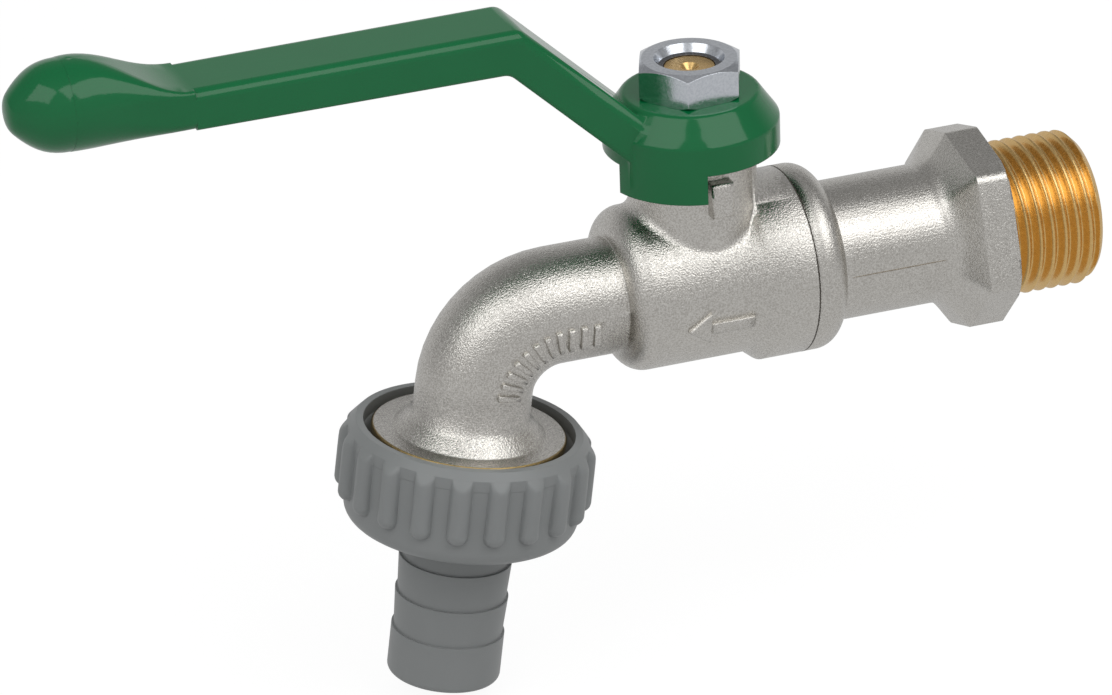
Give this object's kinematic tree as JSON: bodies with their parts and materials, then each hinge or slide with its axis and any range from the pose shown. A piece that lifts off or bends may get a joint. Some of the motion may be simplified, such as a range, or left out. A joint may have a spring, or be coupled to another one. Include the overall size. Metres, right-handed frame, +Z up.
{
  "type": "frost-proof outdoor tap",
  "caption": "Wall-mounted ball valve garden tap with a cranked lever, a bent spout and a ribbed union nut that holds a barbed hose tail.",
  "frame": {"origin": "on the inlet axis, where the inlet thread meets the hexagon that is turned to screw it in", "axes": "+X along the inlet thread into the wall, +Z up along the valve stem towards the lever, +Y to the tap's side that the lever swings to when it closes"},
  "size_m": [0.1475, 0.034, 0.0982],
  "materials": {
    "plated_connector": "nickel plate over turned brass, fine tumbled grain; the wall thread is bare brass",
    "plated_body": "nickel plate over forged brass, fine tumbled grain",
    "ball_plating": "polished chrome plate over brass",
    "seat_plastic": "white slippery plastic",
    "soft_rubber": "black sealing rubber",
    "stem_brass": "bare turned brass",
    "lever_paint": "gloss green paint over die-cast metal",
    "nut_zinc": "bright zinc plate over steel",
    "grey_plastic": "grey moulded plastic with a light sheen"
  },
  "bodies": {
    "valve": {"valve_body": "plated_body", "inlet_connector": "plated_connector", "connector_seal": "soft_rubber", "seat_ring_inlet": "seat_plastic", "seat_ring_outlet": "seat_plastic", "seat_cushion_inlet": "soft_rubber", "seat_cushion_outlet": "soft_rubber", "packing_ring_lower": "seat_plastic", "packing_ring_upper": "seat_plastic", "gland_nut": "stem_brass"},
    "lever": {"lever_handle": "lever_paint", "stem": "stem_brass", "thrust_washer": "seat_plastic", "stem_o_ring": "soft_rubber", "handle_nut": "nut_zinc"},
    "ball": {"ball": "ball_plating"},
    "tail": {"hose_tail": "grey_plastic", "hose_gasket": "soft_rubber"},
    "ring_nut": {"union_nut": "grey_plastic"}
  },
  "joints": [
    {"name": "lever_turn", "type": "hinge", "parent": "valve", "child": "lever", "pos_m": [-0.041, 0, 0], "axis": [0, 0, -1], "range_deg": [0, 90]},
    {"name": "ball_turn", "type": "hinge", "parent": "valve", "child": "ball", "pos_m": [-0.041, 0, 0], "axis": [0, 0, -1], "range_deg": [0, 90]},
    {"name": "tail_slide", "type": "slide", "parent": "valve", "child": "tail", "axis": [-0.1444, 0, -0.9895], "range_m": [0, 0.00544]},
    {"name": "ring_nut_turn", "type": "hinge", "parent": "tail", "child": "ring_nut", "pos_m": [-0.07338, 0, -0.01612], "axis": [-0.1444, 0, -0.9895], "range_deg": [0, 1080]}
  ],
  "couplings": [
    {"joint": "ball_turn", "follows": "lever_turn", "ratio": 1},
    {"joint": "tail_slide", "follows": "ring_nut_turn", "m_per_rad": 0.00028876}
  ]
}
